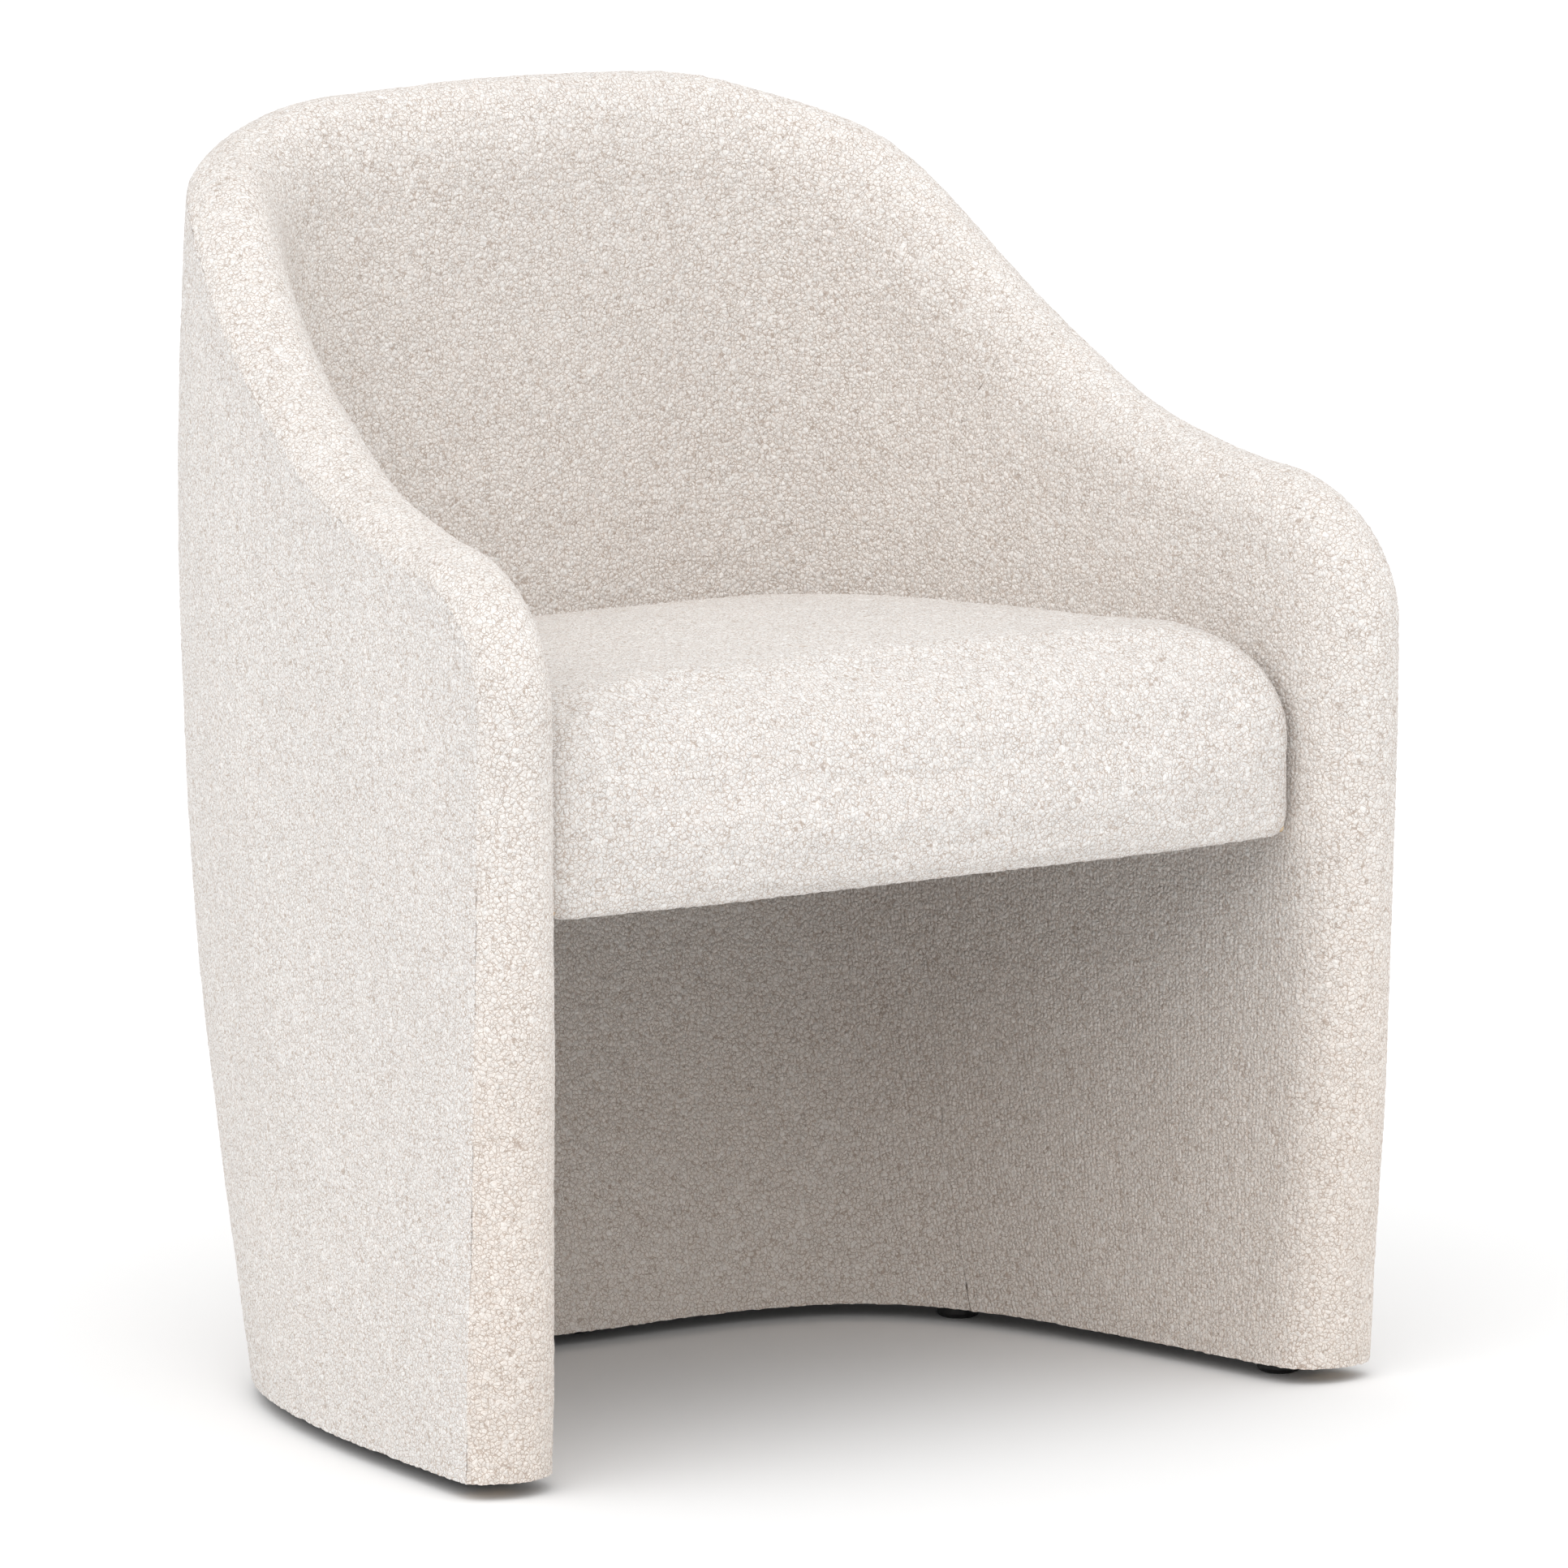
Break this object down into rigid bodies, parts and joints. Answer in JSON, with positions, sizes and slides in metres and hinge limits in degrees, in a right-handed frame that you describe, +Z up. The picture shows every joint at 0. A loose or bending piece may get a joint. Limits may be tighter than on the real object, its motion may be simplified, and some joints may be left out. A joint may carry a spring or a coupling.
{
  "type": "upholstered armchair",
  "caption": "Barrel-shaped upholstered armchair: a U-shaped padded wall open at the front, arms sloping up to the back, and a tight seat set between them.",
  "frame": {"origin": "middle of the bounding box's underside, on the floor", "axes": "+X to the right as seen from the front, which is the sitter's left; +Y towards the back; +Z up"},
  "size_m": [0.6794, 0.5699, 0.7914],
  "materials": {
    "boucle_fabric": "matte",
    "foam": "matte",
    "frame_timber": "matte",
    "lining_board": "matte",
    "webbing": "matte",
    "black_cloth": "matte",
    "steel": "satin",
    "glide_plastic": "satin"
  },
  "bodies": {
    "root": {"base_plate_left": "frame_timber", "base_plate_right": "frame_timber", "base_plate_back": "frame_timber", "front_post_left": "frame_timber", "front_post_right": "frame_timber", "rear_post_left": "frame_timber", "rear_post_right": "frame_timber", "arm_rail_left": "frame_timber", "arm_rail_right": "frame_timber", "back_top_rail": "frame_timber", "ledger_left": "frame_timber", "ledger_right": "frame_timber", "ledger_back": "frame_timber", "arm_board_left": "lining_board", "arm_board_right": "lining_board", "back_board": "lining_board", "arm_foam_left": "foam", "arm_foam_right": "foam", "back_foam": "foam", "seat_foam": "foam", "arm_cover_left": "boucle_fabric", "arm_cover_right": "boucle_fabric", "back_cover": "boucle_fabric", "outside_arm_cover_left": "boucle_fabric", "outside_arm_cover_right": "boucle_fabric", "outside_back_cover": "boucle_fabric", "seat_cover": "boucle_fabric", "base_cloth": "black_cloth", "seat_bottom_cloth": "black_cloth", "seat_rail_front": "frame_timber", "seat_rail_left": "frame_timber", "seat_rail_right": "frame_timber", "seat_rail_back": "frame_timber", "seat_corner_block_left": "frame_timber", "seat_corner_block_right": "frame_timber", "seat_joint_block_left": "frame_timber", "seat_joint_block_right": "frame_timber", "seat_strap_1": "webbing", "seat_strap_2": "webbing", "seat_strap_3": "webbing", "seat_strap_4": "webbing", "seat_strap_5": "webbing", "seat_bolt_left_1": "steel", "seat_bolt_left_2": "steel", "seat_bolt_right_1": "steel", "seat_bolt_right_2": "steel", "glide_front_left": "glide_plastic", "glide_front_right": "glide_plastic", "glide_side_left": "glide_plastic", "glide_side_right": "glide_plastic", "glide_back": "glide_plastic", "glide_nail_front_left": "steel", "glide_nail_front_right": "steel", "glide_nail_side_left": "steel", "glide_nail_side_right": "steel", "glide_nail_back": "steel"}
  },
  "joints": []
}
